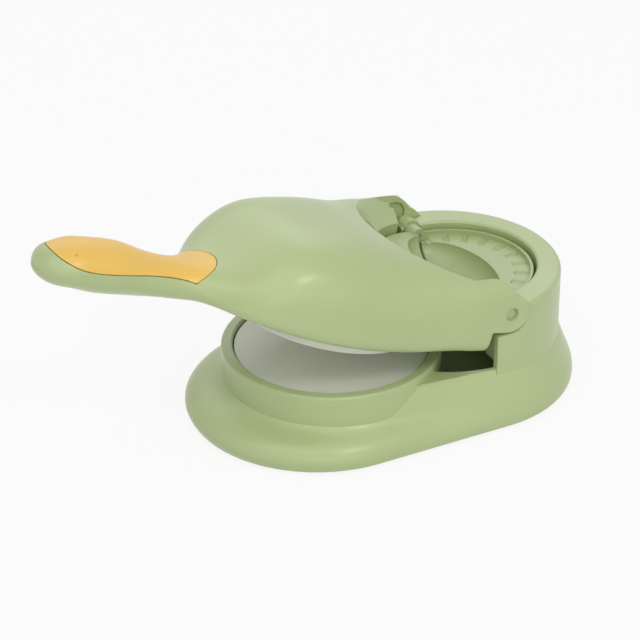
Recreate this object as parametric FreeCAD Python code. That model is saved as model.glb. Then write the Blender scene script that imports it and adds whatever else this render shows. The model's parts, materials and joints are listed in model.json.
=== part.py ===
import FreeCAD
import Part
import math
import os

os.makedirs("parts", exist_ok=True)
V = FreeCAD.Vector

# Base: two round ends joined by straight sides, with a press ring at the front and a tower behind it.
END_SPACING = 70.0
BASE_FLANGE = 7.7
FOOT_HEIGHT = 1.2
WALL = 2.6
SKIRT_HEIGHT = 29.5
RING_CENTRE_X = -27.0
RING_WALL = 5.4
RING_TOP = 33.6
SEAT_FLOOR = 28.2
TOWER_PROUD = 0.7
TOWER_TOP = 59.8
TOWER_WALL = 3.4
DECK_THICK = 3.0
SKIRT_CLEAR = 0.7
EDGE_ROUND = 1.0
TIP_RADIUS = 0.8
RING_ROUND = 1.2
RING_LIP = 0.8
TOWER_ROUND = 1.8
RECESS_LIP = 0.9

# Hinge line, shared by the lever and the flap.
PIVOT_OFFSET = 4.0
PIVOT_Z = 56.8
REST_LIFT_DEG = 14.0
PIN_RADIUS = 2.9
PIN_RUN_GAP = 0.05
PIN_RECESS = 1.9
PIN_HOLE_RADIUS = 3.3
CHEEK_GAP = 2.1
CHEEK_THICK = 6.2
BOSS_RADIUS = 5.5
CHEEK_BACK = 9.0
WASHER_THICK = 0.5
WASHER_RADIUS = 5.4
EAR_GAP = 0.1
EAR_RADIUS = 9.3
EAR_SEAT_GAP = 0.4
EAR_THICK = 6.7
PIN_SPLIT = 0.4
FLAP_PIN_RADIUS = 2.0

# Press plate and press head.
PLATE_RADIUS = 46.2
PLATE_GAP = 0.6
PLATE_THICK = 2.6
GASKET_THICK = 1.2
GASKET_SECTION = 3.0
GASKET_INSET = 3.0
HEAD_INSET = 1.7
HEAD_SKIN_GAP = 1.2
HEAD_WALL = 3.0
HEAD_ROUND = 1.2

# Mould: a fixed cup in the tower and a flap that folds over it.
MOULD_RADIUS = 38.5
RECESS_GAP = 1.5
CUP_RIM = 1.5
CUP_RIM_DROP = 0.2
CRIMP_RISE = 1.4
SKIN_GAP = 1.1
BORDER_DROP = 0.7
BORDER_THICK = 2.2
BOWL_LAND = 7.5
BOWL_WIDTH = 18.5
BOWL_DEPTH = 13.0
BOWL_WALL = 2.0
FOLD_GAP = 0.8
CUP_THICK = 3.0
SHELF_DEPTH = 12.0
SHELF_WIDTH = 6.0
SHELF_THICK = 2.4
RECESS_WALL = 2.4
KNUCKLE_RADIUS = 4.2
KNUCKLE_LENGTH = 7.0
KNUCKLE_GAP = 0.3
CRIMP_GROOVES = 11
CRIMP_GROOVE_RADIUS = 2.2
CRIMP_GROOVE_DEPTH = 0.8
CRIMP_BAND = 7.0

# Lever: a broad hood over the press ring, with a handle in front.
HOOD_NOSE = 23.8
HOOD_HEIGHT = 24.7
HOOD_FOOT = 26.0
HOOD_REAR = 12.0
HOOD_WALL = 2.6
HOOD_SKIRT_REAR = 8.5
EAR_FRONT = 24.0
EAR_SLOT_FRONT = 9.5
EAR_HEAD = 15.6
LOBE_RADIUS = 6.4
LOBE_DEPTH = 1.5
LOBE_FRONT = 7.6
LOBE_UP = 5.8
POCKET_GAP = 1.1
POCKET_WALL = 2.4
DISH_LOW = 5.0
DISH_RISE = 11.0
DISH_GROW = 18.0
DISH_SHIFT = 10.0
TAB_ANGLE_DEG = 146.0
TAB_WIDTH = 15.0
TAB_REACH = 6.0
TAB_THICK = 2.6
TAB_DROP = 0.7
TAB_ROOT = 4.0
TAB_UNDER_GAP = 0.8
TAB_GAP = 1.6
COVER_UP = 15.0
COVER_THICK = 2.2
COVER_SETBACK = 40.0
COVER_REAR = 26.0
COVER_GAP = 0.4

HANDLE_REACH = 79.5
HANDLE_HALF_WIDTH = 15.2
HANDLE_HALF_HEIGHT = 11.8
HANDLE_DROP = 8.3
HANDLE_TIP_RISE = 3.3
GRIP_LAP = 10.0
GRIP_SPREAD = 18.0
GRIP_SPREAD_AT = 63.0
GRIP_END_RADIUS = 13.4
GRIP_CREST = 18.0
GRIP_SEAM = 0.35
GRIP_GUARD = 2.0
GRIP_SCREW_OUT = 46.0
GRIP_SEAT = 0.0

# Screws.
SCREW_SHANK = 1.5
SCREW_HEAD = 2.9
SCREW_HEAD_THICK = 1.8
SCREW_GRIP = 7.0
BOSS_WALL = 1.9
SLOT_WIDTH = 0.8
SLOT_DEPTH = 0.8
BOTTOM_THICK = 2.4
BOTTOM_GAP = 0.7
FOOT_RADIUS = 7.0
FOOT_SINK = 0.8
FOOT_SPREAD = 34.0
POST_SPREAD = 38.0
CUP_SCREW_DEG = 62.0
CUP_SCREW_IN = 7.5
HEAD_SCREWS = 3
HEAD_SCREW_RING = 30.0
HEAD_SCREW_GRIP = 4.0
COVER_SCREW_IN = 4.0
COVER_SCREW_FRONT_Y = 37.0
COVER_SCREW_REAR = 34.0
COVER_SCREW_REAR_Y = 44.0
GRIP_PLUG_SINK = 0.5

TOP_STEPS = 26
FOOT_STEPS = 18
ARC_STEPS = 400

# Shares of the sizes above, from the front or the foot to the rear or the top.
skirt_height_shares = [0.041, 0.166, 0.288, 0.39, 0.468, 0.529, 0.597, 0.712, 0.847, 1.0]
skirt_front_radius_shares = [0.968, 1.0, 0.992, 0.962, 0.918, 0.872, 0.838, 0.808, 0.776, 0.744]
skirt_front_shift_shares = [0.0, 0.0, 0.0, 0.1, 0.31, 0.62, 0.88, 1.0, 1.0, 1.0]
skirt_rear_radius_shares = [0.968, 1.0, 0.992, 0.976, 0.961, 0.949, 0.936, 0.915, 0.89, 0.86]
handle_out_shares = [1.0, 0.967, 0.912, 0.835, 0.703, 0.582, 0.45, 0.328, 0.186, 0.075]
handle_width_shares = [0.1, 0.48, 0.79, 0.93, 1.0, 0.99, 0.94, 0.86, 0.81, 0.9]
handle_height_shares = [0.1, 0.41, 0.67, 0.82, 0.96, 1.0, 0.96, 0.85, 0.775, 0.76]
handle_fall_shares = [0.07, 0.06, 0.02, 0.0, 0.06, 0.19, 0.35, 0.6, 0.84, 0.94]
hood_along_shares = [0.986, 0.93, 0.859, 0.775, 0.669, 0.549, 0.423, 0.296, 0.169, 0.056]
hood_width_shares = [0.36, 0.55, 0.725, 0.815, 0.885, 0.938, 0.968, 0.987, 0.998, 1.0]
hood_foot_shares = [0.485, 0.472, 0.512, 0.604, 0.71, 0.8, 0.86, 0.9, 0.94, 0.985]
hood_top_shares = [0.178, 0.235, 0.5, 0.845, 0.985, 0.985, 0.89, 0.78, 0.7, 0.7]
hood_mid_shares = [0.38, 0.26, 0.18, 0.14, 0.13, 0.13, 0.16, 0.26, 0.42, 0.55]
hood_square_shares = [2.3, 2.8, 3.3, 3.4, 3.3, 3.2, 3.4, 4.1, 5.4, 6.6]
hood_foot_square_shares = [2.3, 2.7, 3.2, 3.6, 3.8, 3.8, 3.8, 4.0, 4.5, 5.0]
ear_crown_shares = (0.146, 0.85)
ear_brow_share = 0.55
ear_neck_share = 0.108
hood_open_share = 0.9
grip_out_shares = [1.035, 0.93, 0.842, 0.69, 0.515, 0.335, 0.05, -0.21]
grip_rise_shares = [1.0, 0.62, 0.433, 0.267, 0.2, 0.122, -0.07, -0.3]

REAR_X = END_SPACING / 2
FRONT_X = -END_SPACING / 2
PIVOT_X = REAR_X + PIVOT_OFFSET
MOULD_RECESS = MOULD_RADIUS + RECESS_GAP
BOWL_LENGTH = MOULD_RADIUS - BOWL_LAND
CHEEK_INNER = MOULD_RADIUS + CHEEK_GAP
PIVOT = V(PIVOT_X, 0, PIVOT_Z)
UP = V(0, 0, 1)
ACROSS = V(0, 1, 0)
CHEEK_OUTER = CHEEK_INNER + CHEEK_THICK
EAR_INNER = CHEEK_OUTER + WASHER_THICK + EAR_GAP
HOOD_HALF_WIDTH = EAR_INNER + EAR_THICK
TOWER_RADIUS = HOOD_HALF_WIDTH + TOWER_PROUD
BASE_RADIUS = TOWER_RADIUS + BASE_FLANGE
RING_RADIUS = PLATE_RADIUS + PLATE_GAP + RING_WALL
HEAD_RADIUS = PLATE_RADIUS - HEAD_INSET
HOOD_LENGTH = PIVOT_X - RING_CENTRE_X + RING_RADIUS + HOOD_NOSE
HANDLE_TIP = HOOD_LENGTH + HANDLE_REACH
GRIP_END = HOOD_LENGTH - GRIP_LAP
GRIP_SCREW_AT = HOOD_LENGTH + GRIP_SCREW_OUT
COVER_FRONT = HOOD_LENGTH - COVER_SETBACK
COVER_SCREW_FRONT = COVER_FRONT - COVER_SCREW_IN
FAR = 4 * BASE_RADIUS
SIDES = (-1, 1)


def save(shape, name):
    shape.exportStep("parts/" + name + ".step")


def rod(radius, start, direction, length):
    return Part.makeCylinder(radius, length, start, direction)


def capped_rod(radius, start, length, edge):
    body = rod(radius, start, UP, length)
    return body.makeFillet(edge, [e for e in body.Edges if e.BoundBox.ZMin > start.z + length / 2])


def lip(radius, grow, centre_x, top):
    return Part.makeCone(radius, radius + grow, grow, V(centre_x, 0, top - grow), UP)


def block(x0, x1, y0, y1, z0, z1):
    return Part.makeBox(x1 - x0, y1 - y0, z1 - z0, V(x0, y0, z0))


def along_hinge(radius, y0, y1):
    low, high = sorted((y0, y1))
    return rod(radius, PIVOT + V(0, low, 0), ACROSS, high - low)


def lever(x, y, z):
    return PIVOT + V(x, y, z)


def lifted(shape):
    turned = shape.copy()
    turned.rotate(PIVOT, ACROSS, REST_LIFT_DEG)
    return turned


def hull_wire(front_x, front_r, rear_x, rear_r, z):
    turn = math.asin((front_r - rear_r) / (rear_x - front_x))
    c, s = math.cos(turn), math.sin(turn)

    def tip(x, r, side):
        return V(x + r * s, side * r * c, z)

    front_arc = Part.Arc(tip(front_x, front_r, -1), V(front_x - front_r, 0, z), tip(front_x, front_r, 1))
    rear_arc = Part.Arc(tip(rear_x, rear_r, 1), V(rear_x + rear_r, 0, z), tip(rear_x, rear_r, -1))
    far_side = Part.makeLine(tip(front_x, front_r, 1), tip(rear_x, rear_r, 1))
    near_side = Part.makeLine(tip(rear_x, rear_r, -1), tip(front_x, front_r, -1))
    return Part.Wire([front_arc.toShape(), far_side, rear_arc.toShape(), near_side])


def skirt(inset, lift):
    wires = []
    rows = zip(skirt_height_shares, skirt_front_radius_shares, skirt_front_shift_shares, skirt_rear_radius_shares)
    for height, front, shift, rear in rows:
        front_x = FRONT_X + shift * (RING_CENTRE_X - FRONT_X)
        front_r = front * BASE_RADIUS - inset
        rear_r = rear * BASE_RADIUS - inset
        wires.append(hull_wire(front_x, front_r, REAR_X, rear_r, height * SKIRT_HEIGHT - lift))
    return Part.makeLoft(wires, True, False)


def even_points(arc, steps):
    run = [0]
    for start, end in zip(arc, arc[1:]):
        run.append(run[-1] + start.distanceToPoint(end))
    points = []
    k = 0
    for step in range(steps):
        goal = run[-1] * step / steps
        while run[k + 1] < goal:
            k = k + 1
        points.append(arc[k] + (arc[k + 1] - arc[k]) * ((goal - run[k]) / (run[k + 1] - run[k])))
    return points


def lever_wire(x, wide, foot, mid, top, square, foot_square):
    points = []
    halves = ((top, 2 / square, TOP_STEPS, 1), (foot, 2 / foot_square, FOOT_STEPS, -1))
    for far, power, steps, turn in halves:
        arc = []
        for k in range(ARC_STEPS + 1):
            c = math.cos(math.pi * k / ARC_STEPS)
            s = abs(math.sin(math.pi * k / ARC_STEPS))
            y = math.copysign(abs(c) ** power, c) * wide * turn
            arc.append(lever(x, y, mid + (far - mid) * s ** power))
        points += even_points(arc, steps)
    curve = Part.BSplineCurve()
    curve.interpolate(Points=points, PeriodicFlag=True, Parameters=list(range(len(points) + 1)))
    return Part.Wire([curve.toShape()])


def lever_form(inset):
    wires = []
    rows = zip(handle_out_shares, handle_width_shares, handle_height_shares, handle_fall_shares)
    for out, width, height, fall in rows:
        x = -HOOD_LENGTH - out * HANDLE_REACH
        if not wires:
            x = x + inset
        mid = HANDLE_TIP_RISE - fall * HANDLE_DROP
        wide = max(width * HANDLE_HALF_WIDTH - inset, TIP_RADIUS)
        tall = max(height * HANDLE_HALF_HEIGHT - inset, TIP_RADIUS)
        wires.append(lever_wire(x, wide, mid - tall, mid, mid + tall, 2, 2))
    rows = zip(hood_along_shares, hood_width_shares, hood_foot_shares, hood_top_shares,
               hood_mid_shares, hood_square_shares, hood_foot_square_shares)
    for along, width, foot, top, mid, square, foot_square in rows:
        wide = width * HOOD_HALF_WIDTH - inset
        high = top * HOOD_HEIGHT - inset
        low = inset - foot * HOOD_FOOT if along > hood_open_share else -foot * HOOD_FOOT - inset * 2
        level = low + mid * (high - low)
        wires.append(lever_wire(-along * HOOD_LENGTH, wide, low, level, high, square, foot_square))
    wires.append(lever_wire(HOOD_REAR, wide, low, level, high, square, foot_square))
    return Part.makeLoft(wires, True, False)


def half_disc(radius, z0, z1, side, start):
    whole = rod(radius, lever(0, 0, z0), UP, z1 - z0)
    if side > 0:
        keep = block(PIVOT_X + start, PIVOT_X + FAR, -FAR, FAR, 0, FAR)
    else:
        keep = block(PIVOT_X - FAR, PIVOT_X - start, -FAR, FAR, 0, FAR)
    return whole.common(keep)


def bowl(grow, z_top, x_mid):
    ball = Part.makeSphere(BOWL_LENGTH)
    m = FreeCAD.Matrix()
    m.scale((BOWL_WIDTH + grow) / BOWL_LENGTH, (BOWL_LENGTH + grow) / BOWL_LENGTH, (BOWL_DEPTH + grow) / BOWL_LENGTH)
    shaped = ball.transformGeometry(m)
    shaped.translate(lever(x_mid, 0, z_top))
    return shaped


def screw(head_at, direction, length):
    body = rod(SCREW_HEAD, head_at, direction, SCREW_HEAD_THICK)
    body = body.fuse(rod(SCREW_SHANK, head_at + direction * SCREW_HEAD_THICK, direction, length))
    for lengthwise in (True, False):
        wide, deep = (SCREW_HEAD, SLOT_WIDTH) if lengthwise else (SLOT_WIDTH, SCREW_HEAD)
        slot = Part.makeBox(wide, deep, SLOT_DEPTH * 2, V(-wide / 2, -deep / 2, -SLOT_DEPTH))
        slot.Placement = FreeCAD.Placement(head_at, FreeCAD.Rotation(UP, direction))
        body = body.cut(slot)
    return body


def grip_prism(grow):
    spread_x = PIVOT_X - HOOD_LENGTH - GRIP_SPREAD_AT
    end_x = PIVOT_X - GRIP_END - GRIP_END_RADIUS
    low = PIVOT_Z - HANDLE_HALF_HEIGHT * 2
    plan = hull_wire(spread_x, GRIP_SPREAD + grow, end_x, GRIP_END_RADIUS + grow, low)
    prism = Part.Face(plan).extrude(V(0, 0, HANDLE_HALF_HEIGHT * 6))
    split = []
    for out, rise in zip(grip_out_shares, grip_rise_shares):
        split.append(lever(-HOOD_LENGTH - out * HANDLE_REACH, -FAR, rise * GRIP_CREST - grow))
    curve = Part.BSplineCurve()
    curve.interpolate(split)
    top = [split[-1], split[-1] + UP * FAR, split[0] + UP * FAR, split[0]]
    lines = [Part.makeLine(start, end) for start, end in zip(top, top[1:])]
    side = Part.Face(Part.Wire([curve.toShape()] + lines))
    return prism.common(side.extrude(V(0, FAR * 2, 0)))


# Base shell.
ring_low = V(RING_CENTRE_X, 0, FOOT_HEIGHT)
tower_low = V(REAR_X, 0, FOOT_HEIGHT)
ring_outer = capped_rod(RING_RADIUS, ring_low, RING_TOP - FOOT_HEIGHT, RING_ROUND)
tower_outer = capped_rod(TOWER_RADIUS, tower_low, TOWER_TOP - FOOT_HEIGHT, TOWER_ROUND)
tower_front = PIVOT_X - HOOD_SKIRT_REAR + SKIRT_CLEAR
tower_outer = tower_outer.common(block(tower_front, FAR, -FAR, FAR, 0, FAR))
outer = skirt(0, 0).fuse([ring_outer, tower_outer])
ring_inner = rod(RING_RADIUS - WALL, V(RING_CENTRE_X, 0, 0), UP, SEAT_FLOOR - WALL)
plate_well = rod(PLATE_RADIUS + PLATE_GAP, V(RING_CENTRE_X, 0, SEAT_FLOOR), UP, FAR)
tower_inner = rod(TOWER_RADIUS - TOWER_WALL, V(REAR_X, 0, 0), UP, TOWER_TOP - DECK_THICK)
ring_keep = rod(RING_RADIUS, V(RING_CENTRE_X, 0, 0), UP, FAR)
tower_inner = tower_inner.cut(ring_keep)
skirt_inner = skirt(WALL, WALL)
skirt_keep = rod(RING_RADIUS, V(RING_CENTRE_X, 0, SEAT_FLOOR - WALL), UP, FAR)
base = outer.cut(skirt_inner.cut(skirt_keep)).cut([ring_inner, plate_well, tower_inner])
base = base.cut(rod(MOULD_RECESS, lever(0, 0, -SHELF_DEPTH), UP, FAR))
base = base.cut(lip(PLATE_RADIUS + PLATE_GAP, RING_LIP, RING_CENTRE_X, RING_TOP))

# Mould recess, hinge cheeks and screw posts belong to the base shell.
recess_keep = block(PIVOT_X + BOSS_RADIUS, FAR, -FAR, FAR, 0, FAR)
recess_low = lever(0, 0, -SHELF_DEPTH - SHELF_THICK)
recess_tall = SHELF_DEPTH + SHELF_THICK + TOWER_TOP - PIVOT_Z
recess_wall = rod(MOULD_RECESS + RECESS_WALL, recess_low, UP, recess_tall)
recess_wall = recess_wall.cut(rod(MOULD_RECESS, recess_low, UP, FAR)).common(recess_keep)
shelf = rod(MOULD_RECESS + RECESS_WALL, recess_low, UP, SHELF_THICK)
shelf = shelf.cut(rod(MOULD_RECESS - SHELF_WIDTH, recess_low, UP, FAR)).common(recess_keep)
base = base.fuse([recess_wall, shelf])
base = base.cut(lip(MOULD_RECESS, RECESS_LIP, PIVOT_X, TOWER_TOP))
ledge_z = PIVOT_Z - EAR_RADIUS - EAR_SEAT_GAP
cheek_low = SEAT_FLOOR + WALL
base = base.cut(block(-FAR, PIVOT_X - BOSS_RADIUS, -CHEEK_OUTER, CHEEK_OUTER, ledge_z, FAR))
base = base.cut(along_hinge(KNUCKLE_RADIUS + FOLD_GAP, -CHEEK_INNER, CHEEK_INNER))
for side in SIDES:
    low, high = sorted((side * CHEEK_INNER, side * CHEEK_OUTER))
    cheek = block(PIVOT_X - BOSS_RADIUS, PIVOT_X + CHEEK_BACK, low, high, cheek_low, PIVOT_Z)
    cheek = cheek.fuse(along_hinge(BOSS_RADIUS, low, high))
    cheek = cheek.fuse(block(PIVOT_X, PIVOT_X + CHEEK_BACK * 2, low, high, PIVOT_Z, TOWER_TOP))
    brace_low, brace_high = sorted((side * CHEEK_INNER, side * (TOWER_RADIUS - TOWER_WALL / 2)))
    brace = block(PIVOT_X - BOSS_RADIUS, PIVOT_X + CHEEK_BACK, brace_low, brace_high, cheek_low, ledge_z)
    brace = brace.common(rod(TOWER_RADIUS - EDGE_ROUND, tower_low, UP, FAR))
    base = base.fuse([cheek, brace])
    open_low, open_high = sorted((side * CHEEK_OUTER, side * FAR))
    base = base.cut(block(-FAR, PIVOT_X, open_low, open_high, ledge_z, FAR))
    base = base.cut(along_hinge(EAR_RADIUS + EAR_SEAT_GAP, open_low, open_high))
    pin_low, pin_high = sorted((side * (CHEEK_INNER + CHEEK_THICK / 2), side * FAR))
    base = base.cut(along_hinge(PIN_RADIUS, pin_low, pin_high))
    bore_low, bore_high = sorted((side * MOULD_RADIUS, side * CHEEK_OUTER))
    base = base.cut(along_hinge(FLAP_PIN_RADIUS + PIN_RUN_GAP, bore_low, bore_high))
posts = [V(RING_CENTRE_X, side * POST_SPREAD, FOOT_HEIGHT) for side in SIDES]
posts += [V(RING_CENTRE_X - POST_SPREAD, 0, FOOT_HEIGHT), V(RING_CENTRE_X + POST_SPREAD, 0, FOOT_HEIGHT)]
for spot in posts:
    top = SEAT_FLOOR - WALL / 2 - FOOT_HEIGHT - BOTTOM_THICK
    post = rod(SCREW_SHANK + BOSS_WALL, spot + UP * BOTTOM_THICK, UP, top)
    bore = rod(SCREW_SHANK, spot + UP * BOTTOM_THICK, UP, SCREW_GRIP + SCREW_HEAD_THICK)
    base = base.fuse(post).cut(bore)
base = base.removeSplitter()
save(base, "base_shell")

# Bottom plate, feet and base screws.
bottom_front = BASE_RADIUS - WALL - BOTTOM_GAP
bottom_rim = hull_wire(FRONT_X, bottom_front, REAR_X, bottom_front, FOOT_HEIGHT)
bottom = Part.Face(bottom_rim).extrude(UP * BOTTOM_THICK)
base_screws = []
for spot in posts:
    bottom = bottom.cut(rod(SCREW_SHANK, spot, UP, BOTTOM_THICK))
    bottom = bottom.cut(rod(SCREW_HEAD + PLATE_GAP, spot, UP, SCREW_HEAD_THICK))
    base_screws.append(screw(spot, UP, SCREW_GRIP))
feet = []
foot_spots = [V(0, 0, 0)]
for x in (FRONT_X - FOOT_RADIUS, REAR_X + FOOT_RADIUS):
    foot_spots += [V(x, side * FOOT_SPREAD, 0) for side in SIDES]
for spot in foot_spots:
    foot = rod(FOOT_RADIUS, spot, UP, FOOT_HEIGHT + FOOT_SINK)
    feet.append(foot.makeChamfer(FOOT_HEIGHT / 3, [e for e in foot.Edges if e.BoundBox.ZMax < FOOT_SINK]))
    bottom = bottom.cut(rod(FOOT_RADIUS, spot, UP, FOOT_HEIGHT + FOOT_SINK))
save(bottom, "bottom_plate")
save(Part.makeCompound(feet), "rubber_feet")
save(Part.makeCompound(base_screws), "base_screws")

# Press plate on its gasket.
plate_z = SEAT_FLOOR + GASKET_THICK
plate = rod(PLATE_RADIUS, V(RING_CENTRE_X, 0, plate_z), UP, PLATE_THICK)
plate = plate.makeFillet(EDGE_ROUND / 2, [e for e in plate.Edges if e.BoundBox.ZMin > plate_z + PLATE_THICK / 2])
save(plate, "press_plate")
gasket_low = V(RING_CENTRE_X, 0, SEAT_FLOOR)
gasket = rod(PLATE_RADIUS - GASKET_INSET, gasket_low, UP, GASKET_THICK)
gasket = gasket.cut(rod(PLATE_RADIUS - GASKET_INSET - GASKET_SECTION, gasket_low, UP, GASKET_THICK))
save(gasket, "plate_gasket")


def crimped(half, land_z, side):
    for k in range(CRIMP_GROOVES):
        a = math.radians((k + 0.5) * 180 / CRIMP_GROOVES - 90)
        out = V(side * math.cos(a), math.sin(a), 0)
        start = lever(0, 0, land_z + CRIMP_GROOVE_RADIUS - CRIMP_GROOVE_DEPTH)
        reach = MOULD_RADIUS - CUP_RIM - PLATE_GAP
        half = half.cut(rod(CRIMP_GROOVE_RADIUS, start + out * (reach - CRIMP_BAND), out, CRIMP_BAND))
    return half


# Fixed mould cup: rim, crimped land and half a bowl, screwed down on the tower's shelf.
land_z = -CRIMP_RISE - SKIN_GAP
cup_rim = half_disc(MOULD_RADIUS, -SHELF_DEPTH, -CUP_RIM_DROP, 1, FOLD_GAP)
cup_under = rod(MOULD_RADIUS - CUP_RIM * 2, lever(0, 0, -SHELF_DEPTH * 2), UP, SHELF_DEPTH * 2 + land_z - CUP_THICK)
cup_above = rod(MOULD_RADIUS - CUP_RIM, lever(0, 0, land_z), UP, FAR)
cup_bowl = bowl(BOWL_WALL, land_z, 0)
cup_bowl = cup_bowl.common(block(PIVOT_X + FOLD_GAP, FAR, -FAR, FAR, 0, PIVOT_Z + land_z))
cup = cup_rim.cut([cup_under, cup_above]).fuse(cup_bowl).cut(bowl(0, land_z, 0))
cup = crimped(cup, land_z, 1)
cup_screws = []
for side in SIDES:
    cup = cup.cut(along_hinge(KNUCKLE_RADIUS + FOLD_GAP, side * (CHEEK_INNER - KNUCKLE_LENGTH - FOLD_GAP), side * FAR))
    a = math.radians(CUP_SCREW_DEG)
    spot_r = MOULD_RADIUS - CUP_SCREW_IN
    foot = lever(spot_r * math.cos(a), side * spot_r * math.sin(a), -SHELF_DEPTH)
    post = rod(SCREW_SHANK + BOSS_WALL, foot, UP, SHELF_DEPTH + land_z - CUP_THICK / 2)
    cup = cup.fuse(post).cut(rod(SCREW_SHANK, foot, UP, SCREW_GRIP))
    base = base.cut(rod(SCREW_SHANK, foot - UP * SHELF_THICK, UP, SHELF_THICK))
    cup_screws.append(screw(foot - UP * (SHELF_THICK + SCREW_HEAD_THICK), UP, SCREW_GRIP))
cup = cup.removeSplitter()
save(cup, "mould_cup")
save(Part.makeCompound(cup_screws), "cup_screws")
save(base, "base_shell")

# Hinge pins and friction washers.
for side, name in zip(SIDES, ("hinge_pin_near", "hinge_pin_far")):
    pin = along_hinge(PIN_RADIUS, side * (CHEEK_INNER + CHEEK_THICK / 2 + PIN_SPLIT), side * (HOOD_HALF_WIDTH - PIN_RECESS))
    save(pin, name)
washers = []
for side in SIDES:
    washer = along_hinge(WASHER_RADIUS, side * CHEEK_OUTER, side * (CHEEK_OUTER + WASHER_THICK))
    washers.append(washer.cut(along_hinge(PIN_RADIUS, side * CHEEK_INNER, side * FAR)))
save(Part.makeCompound(washers), "friction_washers")

def dish(grow):
    low = lever(0, 0, DISH_LOW - grow)
    high = lever(DISH_SHIFT * 2, 0, DISH_LOW + DISH_RISE * 2 - grow)
    rims = [Part.makeCircle(MOULD_RECESS + grow, low), Part.makeCircle(MOULD_RECESS + DISH_GROW * 2 + grow, high)]
    return Part.makeLoft([Part.Wire([rim]) for rim in rims], True, True)


# Lever shell: hood and handle in one, with a pocket for the flap between its ears.
form = lever_form(0)
hollow = lever_form(HOOD_WALL)
skin = form.cut(hollow)
handle_zone = block(PIVOT_X - FAR, PIVOT_X - GRIP_END + GRIP_GUARD, -FAR, FAR, 0, FAR)
handle_skin = skin.common(handle_zone).cut(grip_prism(GRIP_SEAM))
shell = skin.cut(handle_zone)
pocket_r = MOULD_RADIUS + POCKET_GAP
front_half = block(PIVOT_X - FAR, PIVOT_X - EAR_SLOT_FRONT, -FAR, FAR, 0, FAR)
rest_z = -BORDER_DROP - BORDER_THICK
sleeve = rod(pocket_r + POCKET_WALL, lever(0, 0, rest_z - POCKET_WALL), UP, FAR)
sleeve = sleeve.cut(rod(MOULD_RADIUS - POCKET_WALL, lever(0, 0, -FAR / 2), UP, FAR)).common(front_half).common(form)
dish_skin = dish(POCKET_WALL).common(form).common(front_half)
shell = shell.fuse([sleeve, dish_skin])
shell = shell.cut(rod(pocket_r, lever(0, 0, rest_z), UP, FAR).common(block(-FAR, PIVOT_X, -FAR, FAR, 0, FAR)))
shell = shell.cut(dish(0))


neck_x = EAR_RADIUS * ear_neck_share
neck = lever(neck_x, -FAR, math.sqrt(EAR_RADIUS ** 2 - neck_x ** 2))
crown = lever(-ear_crown_shares[0] * EAR_FRONT, -FAR, ear_crown_shares[1] * EAR_HEAD)
brow = lever(-ear_brow_share * EAR_FRONT, -FAR, EAR_HEAD)
heel = lever(-EAR_FRONT, -FAR, -EAR_RADIUS)
low = lever(0, -FAR, -EAR_RADIUS)
ear_edges = [Part.Arc(brow, crown, neck).toShape(), Part.Arc(neck, lever(EAR_RADIUS, -FAR, 0), low).toShape()]
corners = [low, heel, heel + UP * FAR, V(brow.x, brow.y, heel.z + FAR), brow]
ear_edges += [Part.makeLine(start, end) for start, end in zip(corners, corners[1:])]
ear_prism = Part.Face(Part.Wire(ear_edges)).extrude(ACROSS * FAR * 2)
slot = block(PIVOT_X - EAR_SLOT_FRONT, FAR, -FAR, FAR, 0, FAR)
skirt_keep = block(-FAR, PIVOT_X - HOOD_SKIRT_REAR, -FAR, FAR, 0, PIVOT_Z)
side_keep = [block(-FAR, FAR, *sorted((side * EAR_INNER, side * FAR)), 0, FAR) for side in SIDES]
skirt_sides = shell.common(slot).common(skirt_keep).common(Part.makeCompound(side_keep))
ears = form.common(ear_prism).common(Part.makeCompound(side_keep))
shell = shell.cut(slot).fuse([skirt_sides, ears])
shell = shell.cut(along_hinge(PIN_RADIUS + PIN_RUN_GAP, -FAR, FAR))
for side in SIDES:
    shell = shell.cut(along_hinge(PIN_HOLE_RADIUS, side * (HOOD_HALF_WIDTH - PIN_RECESS), side * FAR))
    lobe_at = lever(-LOBE_FRONT, side * (EAR_INNER - LOBE_DEPTH), LOBE_UP)
    shell = shell.cut(rod(LOBE_RADIUS, lobe_at, ACROSS * side, LOBE_DEPTH * 2))

# Finger tab on the flap's far side, and the notch it lies in.
tab_a = math.radians(TAB_ANGLE_DEG)
tab_out = V(math.cos(tab_a), math.sin(tab_a), 0)


def tab(grow, z0, z1):
    tip = lever(0, 0, z0) + tab_out * (MOULD_RADIUS + TAB_REACH - TAB_WIDTH / 2)
    end = rod(TAB_WIDTH / 2 + grow, tip, UP, z1 - z0)
    root = Part.makeBox(MOULD_RADIUS / 2, TAB_WIDTH + grow * 2, z1 - z0, V(0, -TAB_WIDTH / 2 - grow, 0))
    root.rotate(V(0, 0, 0), UP, TAB_ANGLE_DEG)
    root.translate(tip - tab_out * (MOULD_RADIUS / 2))
    return end.fuse(root)


tab_high = rest_z - TAB_DROP
tab_low = tab_high - TAB_THICK
notch_low = tab_low - TAB_UNDER_GAP
notch = tab(TAB_GAP, notch_low, FAR)
notch_bed = tab(TAB_GAP + POCKET_WALL, notch_low - POCKET_WALL, FAR).common(form)
notch_bed = notch_bed.cut(rod(MOULD_RADIUS - POCKET_WALL, lever(0, 0, -FAR / 2), UP, FAR))
notch_bed = notch_bed.cut(rod(pocket_r, lever(0, 0, rest_z), UP, FAR))
shell = shell.fuse(notch_bed.common(front_half).cut(dish(0))).cut(notch)

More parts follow.
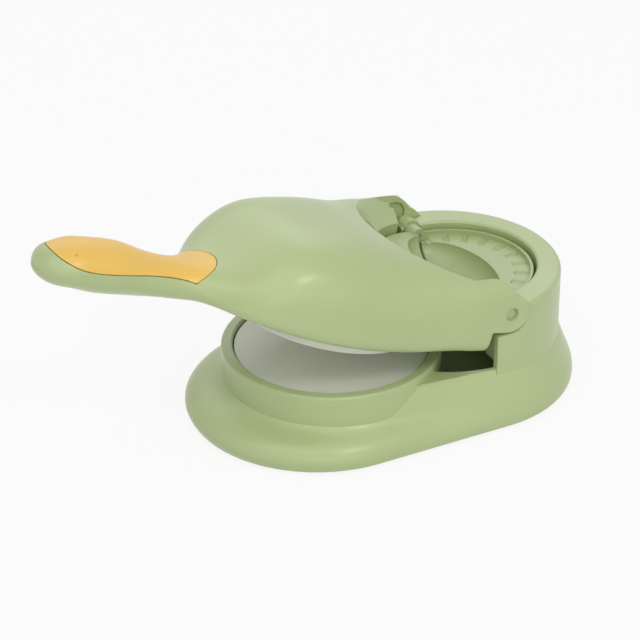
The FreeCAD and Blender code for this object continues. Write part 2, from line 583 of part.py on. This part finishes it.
# Grip bed in the handle, and the screw that holds the grip from below.
grip = form.common(grip_prism(0)).cut(hollow)
under = lever(-GRIP_SCREW_AT, 0, -HANDLE_HALF_HEIGHT * 2)
screw_at = lever(-GRIP_SCREW_AT, 0, GRIP_SEAT)
boss = rod(SCREW_HEAD + BOSS_WALL, under, UP, GRIP_SEAT + HANDLE_HALF_HEIGHT * 2).common(form)
handle_skin = handle_skin.fuse(boss)
handle_skin = handle_skin.cut(rod(SCREW_SHANK, under, UP, HANDLE_HALF_HEIGHT * 3))
handle_skin = handle_skin.cut(rod(SCREW_HEAD, under, UP, GRIP_SEAT + HANDLE_HALF_HEIGHT * 2 - HOOD_WALL))
grip = grip.fuse(rod(SCREW_SHANK + BOSS_WALL, screw_at, UP, HANDLE_HALF_HEIGHT * 3).common(lever_form(HOOD_WALL / 2)))
grip = grip.cut(rod(SCREW_SHANK, screw_at, UP, SCREW_GRIP))
head_low = screw_at - UP * (HOOD_WALL + SCREW_HEAD_THICK)
grip_screw = screw(head_low, UP, HOOD_WALL + SCREW_GRIP)
plug = rod(SCREW_HEAD, under, UP, head_low.z - under.z).common(lever_form(GRIP_PLUG_SINK))
save(lifted(grip), "grip_insert")
save(lifted(grip_screw), "grip_screw")
save(lifted(plug), "grip_plug")

# Lever cover with the press head under it.
ring_in_lever = RING_CENTRE_X - PIVOT_X
cover = lever_form(HOOD_WALL + COVER_GAP).common(block(PIVOT_X - COVER_FRONT, PIVOT_X - COVER_REAR, -FAR, FAR,
                                               PIVOT_Z - COVER_UP, PIVOT_Z - COVER_UP + COVER_THICK))
head_z = SEAT_FLOOR + GASKET_THICK + PLATE_THICK + HEAD_SKIN_GAP - PIVOT_Z
head = rod(HEAD_RADIUS, lever(ring_in_lever, 0, head_z), UP, -COVER_UP - head_z)
head = head.makeFillet(HEAD_ROUND, [e for e in head.Edges if e.BoundBox.ZMax < PIVOT_Z + head_z + EDGE_ROUND])
head_core = rod(HEAD_RADIUS - HEAD_WALL, lever(ring_in_lever, 0, head_z + HEAD_WALL), UP, FAR)
head = head.cut(head_core)
head_screws = []
cover_screws = []
post_form = lever_form(HOOD_WALL / 2)
for k in range(HEAD_SCREWS):
    a = 2 * math.pi * (k + 0.5) / HEAD_SCREWS
    spot = lever(ring_in_lever + HEAD_SCREW_RING * math.cos(a), HEAD_SCREW_RING * math.sin(a), -COVER_UP)
    post = rod(SCREW_SHANK + BOSS_WALL, spot - UP * (-COVER_UP - head_z - HEAD_WALL / 2), UP, -COVER_UP - head_z - HEAD_WALL / 2)
    head = head.fuse(post).cut(rod(SCREW_SHANK, spot - UP * HEAD_SCREW_GRIP, UP, HEAD_SCREW_GRIP))
    cover = cover.cut(rod(SCREW_SHANK, spot, UP, COVER_THICK))
    head_screws.append(screw(spot + UP * (COVER_THICK + SCREW_HEAD_THICK), V(0, 0, -1), COVER_THICK + HEAD_SCREW_GRIP))
for x, y in ((COVER_SCREW_FRONT, COVER_SCREW_FRONT_Y), (COVER_SCREW_REAR, COVER_SCREW_REAR_Y)):
    for side in SIDES:
        spot = lever(-x, side * y, -COVER_UP)
        post = rod(SCREW_SHANK + BOSS_WALL, spot + UP * COVER_THICK, UP, FAR).common(post_form)
        shell = shell.fuse(post).cut(rod(SCREW_SHANK, spot, UP, COVER_THICK + SCREW_GRIP))
        cover = cover.cut(rod(SCREW_SHANK, spot, UP, COVER_THICK))
        cover_screws.append(screw(spot - UP * SCREW_HEAD_THICK, UP, COVER_THICK + SCREW_GRIP))
save(lifted(cover), "lever_cover")
save(lifted(head), "press_head")
save(lifted(Part.makeCompound(head_screws)), "head_screws")
save(lifted(Part.makeCompound(cover_screws)), "cover_screws")
save(lifted(shell.fuse(handle_skin)), "lever_shell")

# Flap: border, crimping plateau and half a bowl, on two pins in the cheeks.
border = half_disc(MOULD_RADIUS, rest_z, -BORDER_DROP, -1, FOLD_GAP)
plateau = half_disc(MOULD_RADIUS - CUP_RIM - PLATE_GAP, rest_z, CRIMP_RISE, -1, FOLD_GAP)
flap_bowl = bowl(BOWL_WALL, CRIMP_RISE, 0)
flap_bowl = flap_bowl.common(block(-FAR, PIVOT_X - FOLD_GAP, -FAR, FAR, 0, PIVOT_Z + CRIMP_RISE))
flap = border.fuse([plateau, flap_bowl]).cut(bowl(0, CRIMP_RISE, 0))
tab_inner = rod(MOULD_RADIUS - TAB_ROOT, lever(0, 0, -FAR / 2), UP, FAR)
tab_web = tab(0, tab_low, rest_z).common(rod(MOULD_RADIUS, lever(0, 0, tab_low), UP, FAR))
flap = flap.fuse(tab(0, tab_low, tab_high).fuse(tab_web).cut(tab_inner))
flap_pins = []
for side in SIDES:
    knuckle_end = CHEEK_INNER - KNUCKLE_GAP
    knuckle = along_hinge(KNUCKLE_RADIUS, side * (knuckle_end - KNUCKLE_LENGTH), side * knuckle_end)
    flap = flap.fuse(knuckle)
    flap = flap.cut(along_hinge(FLAP_PIN_RADIUS, side * (knuckle_end - KNUCKLE_LENGTH), side * FAR))
    inner = side * (knuckle_end - KNUCKLE_LENGTH)
    flap_pins.append(along_hinge(FLAP_PIN_RADIUS, inner, side * (CHEEK_INNER + CHEEK_THICK / 2)))
save(lifted(flap.removeSplitter()), "flap")
save(lifted(Part.makeCompound(flap_pins)), "flap_pins")
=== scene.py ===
# %% [markdown]
# Dumpling maker
#
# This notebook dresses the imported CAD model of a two-in-one dumpling press. One lever flattens a ball
# of dough on a white disc, and a mould at the hinge end folds the skin over its filling. The CAD solids
# come in as a fixed frame in metres: X runs from the handle to the mould tower, Y goes across and Z is
# up. The cells add a camera, light, plastics, and the small moulded details that the solids leave out.

# %% Load the frame
import json
import math

import bmesh
import bpy
from mathutils import Matrix, Vector


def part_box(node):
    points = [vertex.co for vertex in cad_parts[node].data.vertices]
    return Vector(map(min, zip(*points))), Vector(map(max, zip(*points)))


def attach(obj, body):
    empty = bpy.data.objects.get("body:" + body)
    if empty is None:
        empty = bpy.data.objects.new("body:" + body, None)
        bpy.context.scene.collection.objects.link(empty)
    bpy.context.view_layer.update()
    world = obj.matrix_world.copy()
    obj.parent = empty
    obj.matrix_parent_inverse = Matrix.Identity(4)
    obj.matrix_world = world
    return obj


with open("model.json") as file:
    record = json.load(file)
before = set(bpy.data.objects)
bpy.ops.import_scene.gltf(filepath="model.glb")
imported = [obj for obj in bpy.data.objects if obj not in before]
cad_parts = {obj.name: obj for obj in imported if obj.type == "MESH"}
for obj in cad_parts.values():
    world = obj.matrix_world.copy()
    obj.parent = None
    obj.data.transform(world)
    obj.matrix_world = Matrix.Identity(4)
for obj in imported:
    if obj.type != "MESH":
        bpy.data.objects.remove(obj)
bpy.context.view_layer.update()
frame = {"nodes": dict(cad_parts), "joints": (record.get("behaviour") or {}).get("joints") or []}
nodes = frame["nodes"]
joints = {j["name"]: j for j in frame["joints"]}
PIVOT = Vector(joints["lever_hinge"]["pos_m"])
REST = math.radians(-joints["lever_hinge"]["range_deg"][0])
MM = 0.001

# %% [markdown]
# Pieces on the lever are easier to place in the pressed pose, where its hinge frame is level.
# `on_lever` takes such a point, in millimetres from the hinge, and turns it up by the rest angle.

# %% Places
TURN = Matrix.Rotation(REST, 3, "Y")


def on_lever(x, y, z):
    return PIVOT + TURN @ (Vector((x, y, z)) * MM)


def finish_piece(obj, body, material):
    obj.data.materials.clear()
    obj.data.materials.append(material)
    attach(obj, body)
    print(obj.name, len(obj.data.polygons), "faces on", body)


# %% [markdown]
# Shader maths reads better as sums than as chains of nodes. `Signal` wraps an output socket, so that
# `a * 2 + b` builds the Math nodes, and `Signal.node` adds any other node with its inputs. A Mix node
# holds its colours in sockets that only their numbers tell apart, so those numbers get names. `linear`
# decodes an 8-bit sRGB colour.

# %% Shader maths
MIX_FACTOR, MIX_FIRST, MIX_SECOND, MIX_RESULT = 0, 6, 7, 2
SRGB_WHITE, SRGB_OFFSET, SRGB_GAMMA = 255, 0.055, 2.4
EDGE_SOFTNESS = 0.5 * MM
EDGE_SAMPLES = 4


class Signal:
    def __init__(self, tree, socket):
        self.tree, self.socket = tree, socket

    def node(self, kind, settings=None, sockets=None, out=0):
        new = self.tree.nodes.new(kind)
        for name, value in (settings or {}).items():
            setattr(new, name, value)
        for name, value in (sockets or {}).items():
            if isinstance(value, Signal):
                self.tree.links.new(value.socket, new.inputs[name])
            else:
                new.inputs[name].default_value = value
        return Signal(self.tree, new.outputs[out])

    def math(self, operation, first, second, clamp=False):
        settings = {"operation": operation, "use_clamp": clamp}
        return self.node("ShaderNodeMath", settings, {0: first, 1: second})

    def __add__(self, other):
        return self.math("ADD", self, other)

    def __sub__(self, other):
        return self.math("SUBTRACT", self, other)

    def __mul__(self, other):
        return self.math("MULTIPLY", self, other)

    def clamped(self):
        return self.math("ADD", self, 0.0, clamp=True)

    def mix(self, low, high):
        sockets = {MIX_FACTOR: self, MIX_FIRST: (*low, 1), MIX_SECOND: (*high, 1)}
        return self.node("ShaderNodeMix", {"data_type": "RGBA"}, sockets, out=MIX_RESULT)

    def noise(self, scale, detail, roughness=0.5):
        sockets = {"Vector": self, "Scale": scale, "Detail": detail, "Roughness": roughness}
        return self.node("ShaderNodeTexNoise", None, sockets)


def linear(r, g, b):
    return tuple(((c / SRGB_WHITE + SRGB_OFFSET) / (1 + SRGB_OFFSET)) ** SRGB_GAMMA for c in (r, g, b))


def new_material(name):
    material = bpy.data.materials.new(name)
    material.use_nodes = True
    tree = material.node_tree
    shader = tree.nodes["Principled BSDF"]
    where = Signal(tree, tree.nodes.new("ShaderNodeTexCoord").outputs["Object"])
    return material, shader, where


def put(value, shader, name):
    value.tree.links.new(value.socket, shader.inputs[name])


def bumped(height, shader, strength, distance):
    soft = height.node("ShaderNodeBevel", {"samples": EDGE_SAMPLES}, {"Radius": EDGE_SOFTNESS})
    sockets = {"Height": height, "Strength": strength, "Distance": distance, "Normal": soft}
    put(height.node("ShaderNodeBump", None, sockets), shader, "Normal")


# %% [markdown]
# The pale green and yellow parts are injection-moulded plastic: an even colour with slow, faint drifts
# from the melt, fine spark-eroded grain, and a roughness that rises where hands rub the gloss away.
# Three noises at three scales give that. The white disc also has the fine rings of a turned mould. A
# Bevel node under the bump rounds the light on each moulded edge by half a millimetre, which a real
# mould always does and a CAD edge doesn't.

# %% Plastics
MEAN = 0.5
FLOW_SCALE, FLOW_DETAIL, FLOW_HEIGHT = 14.0, 3.0, 2.0
FINE_SCALE, FINE_DETAIL, FINE_HEIGHT, FINE_ROUGHNESS = 2600.0, 2.0, 0.35, 0.05
RUB_SCALE, RUB_DETAIL, RUB_BREAKUP, RUB_ROUGHNESS = 60.0, 5.0, 0.6, 0.06
DRIFT, DRIFT_START, DRIFT_GAIN = 0.04, 0.3, 2.5
TURNING_SCALE, TURNING_HEIGHT, WAVE_FACTOR = 400.0, 0.3, 1
GRAIN_DEPTH = 0.2 * MM
PLASTIC_IOR = 1.49
RUBBER_GRAIN = 0.6


def plastic(name, colour, rough, grain=0.25, turned_about=None):
    material, shader, where = new_material(name)
    flow = where.noise(FLOW_SCALE, FLOW_DETAIL)
    fine = where.noise(FINE_SCALE, FINE_DETAIL)
    rubbed = where.noise(RUB_SCALE, RUB_DETAIL, RUB_BREAKUP)
    dark = tuple(c * (1 - DRIFT) for c in colour)
    light = tuple(min(1, c * (1 + DRIFT)) for c in colour)
    put(((flow - DRIFT_START) * DRIFT_GAIN).clamped().mix(dark, light), shader, "Base Color")
    put((rubbed - MEAN) * RUB_ROUGHNESS + (fine - MEAN) * FINE_ROUGHNESS + rough, shader, "Roughness")
    height = fine * FINE_HEIGHT + flow * FLOW_HEIGHT
    if turned_about is not None:
        centred = where.node("ShaderNodeMapping", None, {"Vector": where, "Location": -turned_about})
        rings = where.node("ShaderNodeTexWave", {"wave_type": "RINGS", "rings_direction": "Z"},
                           {"Vector": centred, "Scale": TURNING_SCALE}, out=WAVE_FACTOR)
        height = height + rings * TURNING_HEIGHT
    bumped(height, shader, grain, GRAIN_DEPTH)
    shader.inputs["IOR"].default_value = PLASTIC_IOR
    print("plastic", name)
    return material


WHITE = linear(226, 228, 214)
disc_low, disc_high = (Vector(corner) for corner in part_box("press_plate"))
green = plastic("green_plastic", linear(183, 198, 143), rough=0.3)
green_under = plastic("green_under", linear(170, 185, 134), rough=0.5)
mould_green = plastic("mould_plastic", linear(174, 190, 138), rough=0.32)
yellow = plastic("grip_plastic", linear(244, 199, 98), rough=0.36)
white = plastic("white_plastic", WHITE, rough=0.38)
plate_white = plastic("plate_plastic", WHITE, rough=0.36, turned_about=(disc_low + disc_high) / 2)
pale = plastic("bearing_plastic", linear(214, 214, 204), rough=0.5)
rubber = plastic("dark_rubber", linear(60, 60, 58), rough=0.75, grain=RUBBER_GRAIN)
grey_rubber = plastic("gasket_rubber", linear(168, 168, 162), rough=0.7, grain=RUBBER_GRAIN)

# %% [markdown]
# Screws and flap pins are plated steel. One fine noise makes both its colour and its gloss uneven.

# %% Steel
STREAK_SCALE, STREAK_DETAIL = 900.0, 4.0
STEEL_ROUGHNESS, STREAK_ROUGHNESS = 0.22, 0.2
STREAK_BUMP, STREAK_DEPTH = 0.15, 0.1 * MM

screw_steel, steel_shader, steel_where = new_material("plated_steel")
streak = steel_where.noise(STREAK_SCALE, STREAK_DETAIL)
put(streak.mix(linear(168, 168, 164), linear(198, 198, 194)), steel_shader, "Base Color")
put(streak * STREAK_ROUGHNESS + STEEL_ROUGHNESS, steel_shader, "Roughness")
steel_shader.inputs["Metallic"].default_value = 1.0
bumped(streak, steel_shader, STREAK_BUMP, STREAK_DEPTH)
print("steel", screw_steel.name)

# %% [markdown]
# Each CAD node takes one finish. The two hinge pins are moulded in the colour of the shells they join,
# and the pieces that show only from below are a duller green.

# %% Materials on the CAD nodes
finishes = {
    green: ["base_shell", "lever_shell", "hinge_pin_near", "hinge_pin_far"],
    green_under: ["bottom_plate", "lever_cover"],
    mould_green: ["mould_cup", "flap"],
    yellow: ["grip_insert", "grip_plug"],
    white: ["press_head"],
    plate_white: ["press_plate"],
    pale: ["friction_washers"],
    rubber: ["rubber_feet"],
    grey_rubber: ["plate_gasket"],
    screw_steel: ["base_screws", "cup_screws", "head_screws", "cover_screws", "grip_screw", "flap_pins"],
}
for finish, names in finishes.items():
    for name in names:
        data = nodes[name].data
        data.materials.clear()
        data.materials.append(finish)
print(sum(len(names) for names in finishes.values()), "nodes finished")

# %% [markdown]
# The underside has details that only show when the press is picked up. Each foot and each screw sits
# inside a low moulded collar, ejector pins leave round witness marks, and a bead follows the plate's
# edge. The feet and screws are separate islands in their CAD meshes, so their centres are measured
# rather than typed again.

# %% Feet and screws
WELD = 0.001 * MM
SORT_DIGITS = 5


def islands(name):
    obj = nodes[name]
    mesh = bmesh.new()
    mesh.from_mesh(obj.data)
    bmesh.ops.remove_doubles(mesh, verts=mesh.verts, dist=WELD)
    left, centres = set(mesh.verts), []
    while left:
        stack = [left.pop()]
        group = [stack[0]]
        while stack:
            near = {v for edge in stack.pop().link_edges for v in edge.verts} & left
            left -= near
            stack += near
            group += near
        spots = [obj.matrix_world @ v.co for v in group]
        centres.append(Vector([(min(c) + max(c)) / 2 for c in zip(*spots)]))
    mesh.free()
    return sorted(centres, key=lambda c: (round(c.x, SORT_DIGITS), round(c.y, SORT_DIGITS)))


plate_low, plate_high = (Vector(corner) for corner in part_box("bottom_plate"))
foot_spots = [Vector((c.x, c.y, plate_low.z)) for c in islands("rubber_feet")]
screw_spots = [Vector((c.x, c.y, plate_low.z)) for c in islands("base_screws")]
print(len(foot_spots), "feet and", len(screw_spots), "screws")

# %% [markdown]
# A collar is a circle with a small round bead swept along it, and Geometry Nodes can put one on every
# point of a mesh. The tree has named inputs for its sizes, and ends in Realize Instances so that the
# result is a plain mesh. `grown` evaluates the tree once, keeps that mesh and throws the modifier away.

# %% Collar tree
COLLAR_STEPS, BEAD_SIDES = 48, 10


def new_tree(name, sizes):
    tree = bpy.data.node_groups.new(name, "GeometryNodeTree")
    tree.interface.new_socket("Points", in_out="INPUT", socket_type="NodeSocketGeometry")
    for size in sizes:
        tree.interface.new_socket(size, in_out="INPUT", socket_type="NodeSocketFloat")
    tree.interface.new_socket("Mesh", in_out="OUTPUT", socket_type="NodeSocketGeometry")
    given = tree.nodes.new("NodeGroupInput")
    return tree, [Signal(tree, given.outputs[label]) for label in ["Points"] + sizes]


def close_tree(tree, shape):
    plain = shape.node("GeometryNodeRealizeInstances", None, {"Geometry": shape})
    smooth = plain.node("GeometryNodeSetShadeSmooth", None, {"Geometry": plain})
    tree.links.new(smooth.socket, tree.nodes.new("NodeGroupOutput").inputs["Mesh"])


def circle(points, steps, radius):
    return points.node("GeometryNodeCurvePrimitiveCircle", None, {"Resolution": steps, "Radius": radius})


def swept(path, bead):
    sockets = {"Curve": path, "Profile Curve": circle(path, BEAD_SIDES, bead)}
    return path.node("GeometryNodeCurveToMesh", None, sockets)


collar_tree, (points, radius, bead) = new_tree("collars", ["Radius", "Bead"])
collar = swept(circle(points, COLLAR_STEPS, radius), bead)
close_tree(collar_tree, points.node("GeometryNodeInstanceOnPoints", None,
                                    {"Points": points, "Instance": collar}))

bead_tree, (path, bead) = new_tree("edge_bead", ["Bead"])
close_tree(bead_tree, swept(path.node("GeometryNodeMeshToCurve", None, {"Mesh": path}), bead))


def grown(name, tree, spots, edges=(), **sizes):
    seed = bpy.data.meshes.new(name + "_points")
    seed.from_pydata([tuple(v) for v in spots], edges, [])
    obj = bpy.data.objects.new(name + "_points", seed)
    bpy.context.scene.collection.objects.link(obj)
    modifier = obj.modifiers.new("grow", "NODES")
    modifier.node_group = tree
    for socket in tree.interface.items_tree:
        if socket.in_out == "INPUT" and socket.name in sizes:
            modifier[socket.identifier] = sizes[socket.name]
    ready = obj.evaluated_get(bpy.context.evaluated_depsgraph_get())
    piece = bpy.data.objects.new(name, bpy.data.meshes.new_from_object(ready))
    bpy.data.objects.remove(obj)
    bpy.context.scene.collection.objects.link(piece)
    return piece


# %% [markdown]
# The witness marks stand in two rows of three, spread over the flat middle of the plate. The bead
# follows an oblong set in from the plate's edge: two half circles, whose open ends the loop joins with
# straight runs.

# %% Underside details
FOOT_COLLAR, SCREW_COLLAR, WITNESS = 7.9 * MM, 4.1 * MM, 2.4 * MM
BEAD, FINE_BEAD = 0.45 * MM, 0.12 * MM
EDGE_INSET = 4.0 * MM
EDGE_STEPS = 96
MARK_SPREAD, MARK_SIDE = 0.55, 0.6

plate_half = (plate_high - plate_low) / 2
plate_mid = (plate_high + plate_low) / 2
end_radius = plate_half.y - EDGE_INSET
end_x = plate_half.x - plate_half.y
marks = [Vector((end_x * column * MARK_SPREAD, end_radius * side * MARK_SIDE, plate_low.z))
         for column in (-1, 0, 1) for side in (-1, 1)]

outline = []
for k in range(EDGE_STEPS):
    turn = 2 * math.pi * (k + 0.5) / EDGE_STEPS
    x = math.copysign(end_x, math.cos(turn)) + end_radius * math.cos(turn)
    outline.append(plate_mid + Vector((x, end_radius * math.sin(turn), -plate_half.z)))
loop = [(k, (k + 1) % EDGE_STEPS) for k in range(EDGE_STEPS)]

for piece in (grown("foot_collars", collar_tree, foot_spots, Radius=FOOT_COLLAR, Bead=BEAD),
              grown("screw_collars", collar_tree, screw_spots, Radius=SCREW_COLLAR, Bead=BEAD),
              grown("ejector_marks", collar_tree, marks, Radius=WITNESS, Bead=FINE_BEAD),
              grown("edge_bead", bead_tree, outline, loop, Bead=BEAD)):
    finish_piece(piece, "base", green_under)

# %% [markdown]
# The yellow insert has one tiny round mark near its outer end, where the plastic entered the mould. It
# is a shallow button turned from a short profile, in millimetres. A ray from above finds the insert's
# surface, so the button sits on it whatever the curve of the grip.

# %% Gate mark
GATE_AT = (-206.0, -9.5)
RAY_START = 60.0
GATE_PROFILE = [(0.4, 0.16), (0.6, 0.12), (0.72, 0.02), (0.72, -0.4)]
GATE_STEPS = 24

grip = nodes["grip_insert"]
above = on_lever(*GATE_AT, RAY_START)
down = TURN @ Vector((0, 0, -1))
into = grip.matrix_world.inverted()
at, normal = grip.ray_cast(into @ above, into.to_3x3() @ down)[1:3]
at, normal = grip.matrix_world @ at, (grip.matrix_world.to_3x3() @ normal).normalized()
stand = normal.to_track_quat("Z", "Y").to_matrix()
turns = [2 * math.pi * k / GATE_STEPS for k in range(GATE_STEPS)]
button = bmesh.new()
rows = []
for reach, rise in GATE_PROFILE:
    spots = [Vector((reach * math.cos(a), reach * math.sin(a), rise)) * MM for a in turns]
    rows.append([button.verts.new(at + stand @ v) for v in spots])
button.faces.new(rows[0])
for inner, outer in zip(rows, rows[1:]):
    for k in range(GATE_STEPS):
        after = (k + 1) % GATE_STEPS
        button.faces.new((inner[k], outer[k], outer[after], inner[after]))
button.faces.new(rows[-1][::-1])
bmesh.ops.recalc_face_normals(button, faces=button.faces)
gate_mesh = bpy.data.meshes.new("gate_mark")
button.to_mesh(gate_mesh)
button.free()
gate_mesh.polygons.foreach_set("use_smooth", [True] * len(gate_mesh.polygons))
gate = bpy.data.objects.new("gate_mark", gate_mesh)
bpy.context.scene.collection.objects.link(gate)
finish_piece(gate, "lever", plastic("gate_plastic", linear(226, 172, 76), rough=0.4))

# %% [markdown]
# The photograph is a studio shot on white. A camera fitted to the base's two round ends, the tower and
# the disc stands in front on the left, 30 degrees up, with a long lens.

# %% Camera
EYE = Vector((-552.5, -965.2, 673.5)) * MM
RIGHT = Vector((0.88062, -0.47382, 0.0))
UP = Vector((0.23529, 0.43730, 0.86800))
BACK = Vector((-0.41128, -0.76438, 0.49658))
SENSOR_WIDTH, LENS = 36.0, 151.5

camera = bpy.data.objects.new("camera", bpy.data.cameras.new("camera"))
camera.data.sensor_width = SENSOR_WIDTH
camera.data.lens = LENS
camera.matrix_world = Matrix((RIGHT, UP, BACK)).transposed().to_4x4()
camera.matrix_world.translation = EYE
bpy.context.scene.collection.objects.link(camera)
bpy.context.scene.camera = camera
bpy.context.scene.view_settings.view_transform = "Standard"
print("camera", [round(v, 3) for v in EYE], "lens", LENS)

# %% [markdown]
# The background is paper that runs out to white. Light Path tells a camera ray from a light ray, so the
# paper can glow white for the camera while it still bounces plain light on to the object, and the plain
# part of the mix keeps a soft shadow under the base. Glossy rays see the same white, as in a tent.

# %% Paper
PAPER_SIZE = 6.0
PAPER_GLOW = 0.88
PAPER_ROUGHNESS = 0.9
PAPER_DARK, PAPER_LIGHT = (0.86, 0.86, 0.86), (0.9, 0.9, 0.9)
FIBRE_SCALE, FIBRE_DETAIL = 900.0, 3.0


def seen(tree):
    rays = tree.nodes.new("ShaderNodeLightPath").outputs
    camera_ray, glossy, clear = (Signal(tree, rays[kind]) for kind in
                                 ("Is Camera Ray", "Is Glossy Ray", "Is Transmission Ray"))
    return (camera_ray + glossy + clear).clamped()


bpy.ops.mesh.primitive_plane_add(size=PAPER_SIZE)
floor = bpy.context.object
floor.name = "floor"
paper, paper_shader, paper_where = new_material("paper")
fibre = paper_where.noise(FIBRE_SCALE, FIBRE_DETAIL)
put(fibre.mix(PAPER_DARK, PAPER_LIGHT), paper_shader, "Base Color")
paper_shader.inputs["Roughness"].default_value = PAPER_ROUGHNESS
paper_nodes, wires = paper.node_tree.nodes, paper.node_tree.links
glow = paper_nodes.new("ShaderNodeEmission")
both = paper_nodes.new("ShaderNodeMixShader")
wires.new((seen(paper.node_tree) * PAPER_GLOW).socket, both.inputs[0])
wires.new(paper_shader.outputs[0], both.inputs[1])
wires.new(glow.outputs[0], both.inputs[2])
wires.new(both.outputs[0], paper_nodes["Material Output"].inputs["Surface"])
floor.data.materials.append(paper)
print("paper glows", PAPER_GLOW, "of the way to white")

# %% [markdown]
# Four soft boxes face the middle of the press: a broad key overhead, a small box in front whose
# reflection makes the bright spot on the lever, a low fill behind the camera, and one on the far side.
# The room is white to the camera and lights the object at less than half of that.

# %% Light
AIM = Vector((0, 0, 0.04))
ROOM = 0.42


def softbox(name, at, size, power):
    light = bpy.data.lights.new(name, "AREA")
    light.shape = "RECTANGLE"
    light.size, light.size_y = size
    light.energy = power
    obj = bpy.data.objects.new(name, light)
    obj.location = at
    obj.rotation_euler = (AIM - Vector(at)).to_track_quat("-Z", "Y").to_euler()
    bpy.context.scene.collection.objects.link(obj)
    print("light", name, power, "W")


softbox("key", at=(-0.6, -0.3, 1.5), size=(1.3, 1.3), power=6)
softbox("sparkle", at=(0.1, -0.85, 1.05), size=(0.32, 0.32), power=3)
softbox("fill", at=(-0.6, -1.6, 0.7), size=(1.6, 1.0), power=5)
softbox("back", at=(0.4, 1.4, 1.1), size=(1.6, 0.8), power=4)
world = bpy.data.worlds.new("studio")
world.use_nodes = True
sky = world.node_tree.nodes["Background"]
sky.inputs["Color"].default_value = (1, 1, 1, 1)
put(seen(world.node_tree) * (1 - ROOM) + ROOM, sky, "Strength")
bpy.context.scene.world = world
